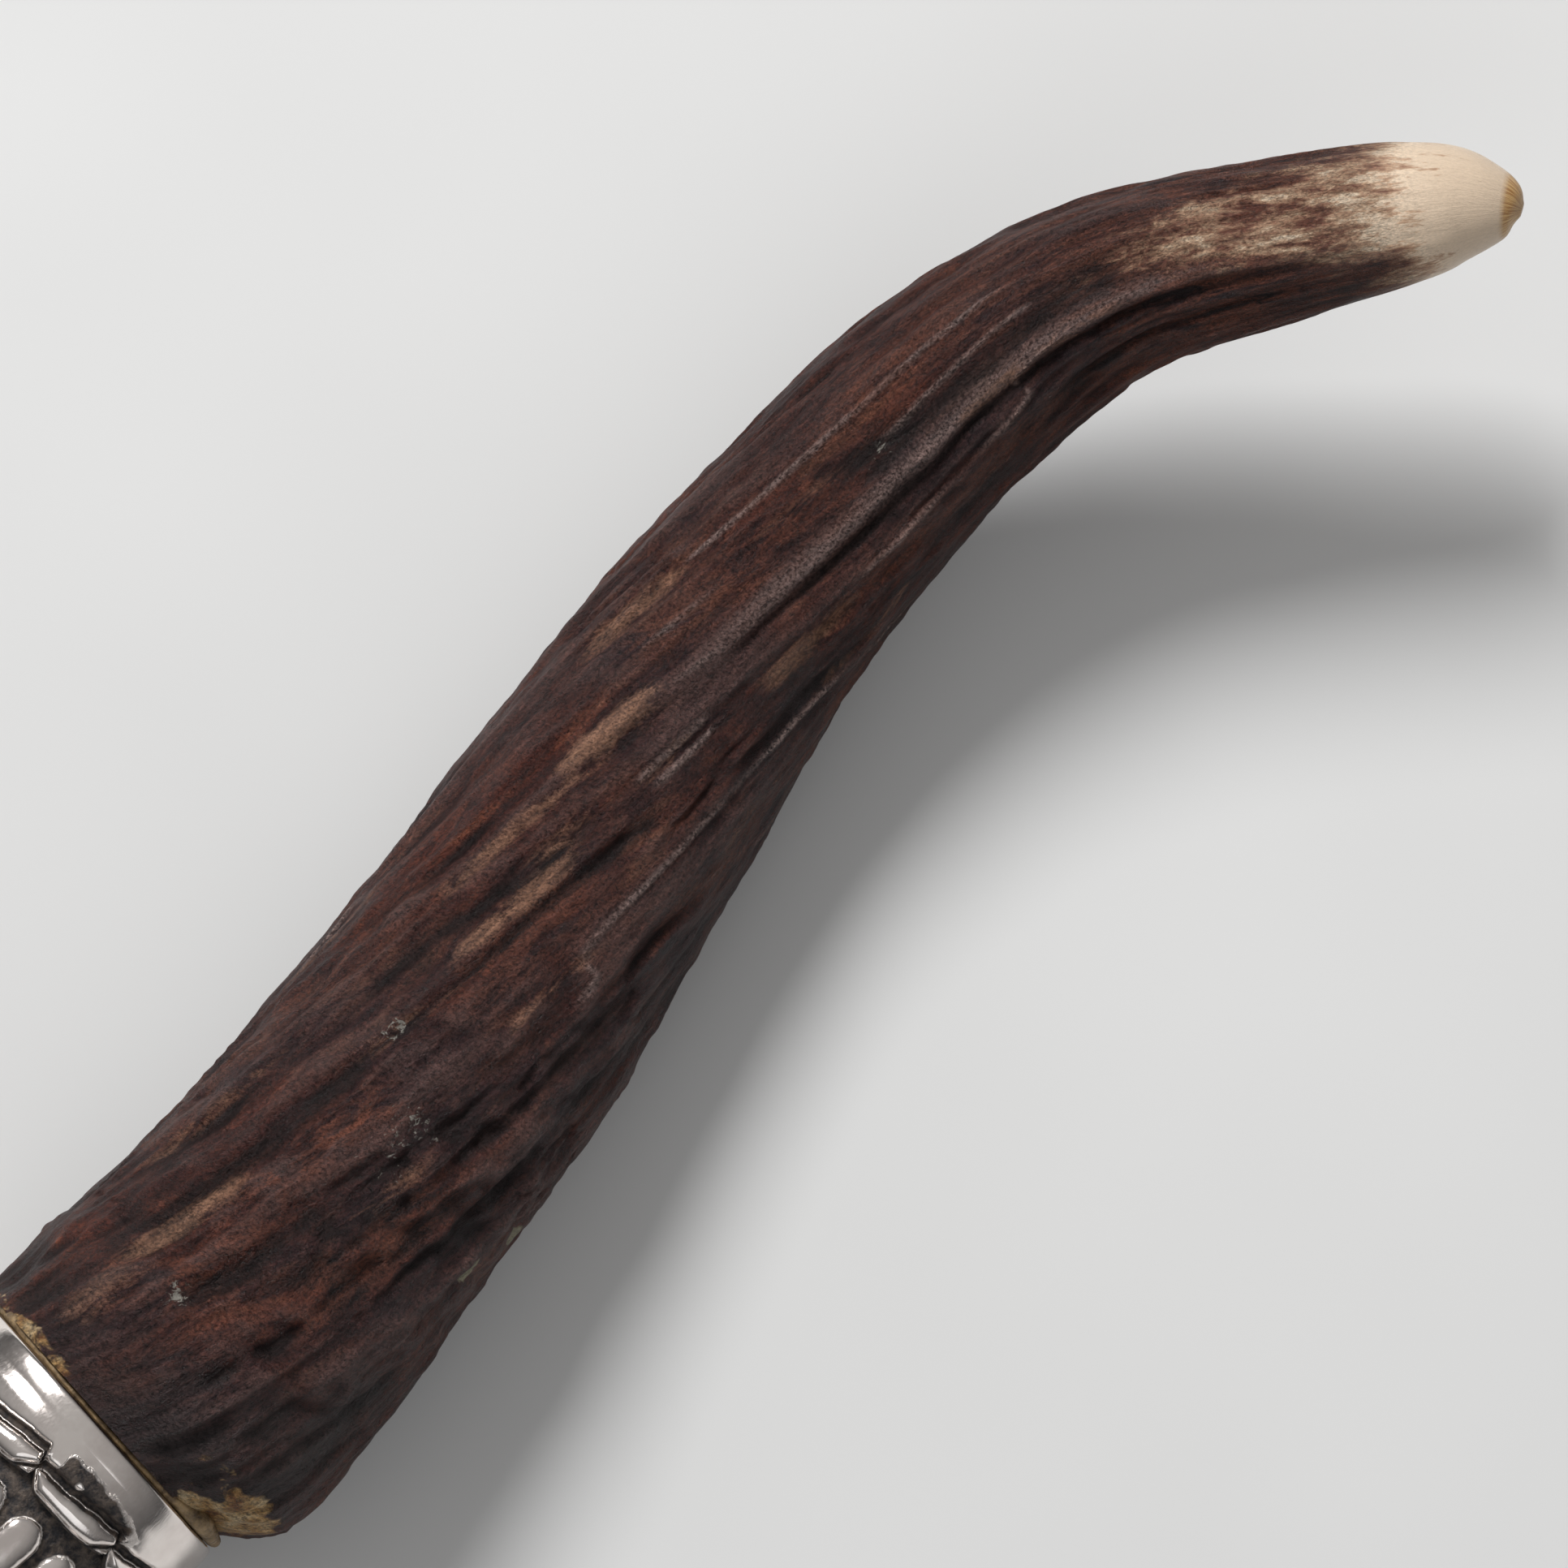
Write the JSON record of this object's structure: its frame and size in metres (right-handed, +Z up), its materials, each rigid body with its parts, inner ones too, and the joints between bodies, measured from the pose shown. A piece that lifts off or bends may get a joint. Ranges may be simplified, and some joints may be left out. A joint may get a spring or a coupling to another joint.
{
  "type": "knife sharpening steel",
  "caption": "Round steel rod for honing knives, with a turned bolster, an embossed silver ferrule and a curved antler handle.",
  "frame": {"origin": "on the surface that the steel lies on, under the middle of its bounding box", "axes": "+X along the steel from the rod's tip towards the antler's tip, +Y to the handle's left, +Z up from the surface"},
  "size_m": [0.3664, 0.0346, 0.0255],
  "materials": {
    "rod_steel": "satin",
    "bolster_steel": "polished",
    "silver": "polished",
    "pitch": "matte",
    "cement": "matte",
    "antler": "satin"
  },
  "bodies": {
    "root": {"sharpening_rod": "rod_steel", "bolster": "bolster_steel", "ferrule_end_plate": "silver", "ferrule_shell": "silver", "ferrule_neck_ring": "silver", "ferrule_band": "silver", "ferrule_lip_ring": "silver", "ferrule_filling": "pitch", "tang_cement": "cement", "joint_glue": "cement", "antler_handle": "antler"}
  },
  "joints": []
}
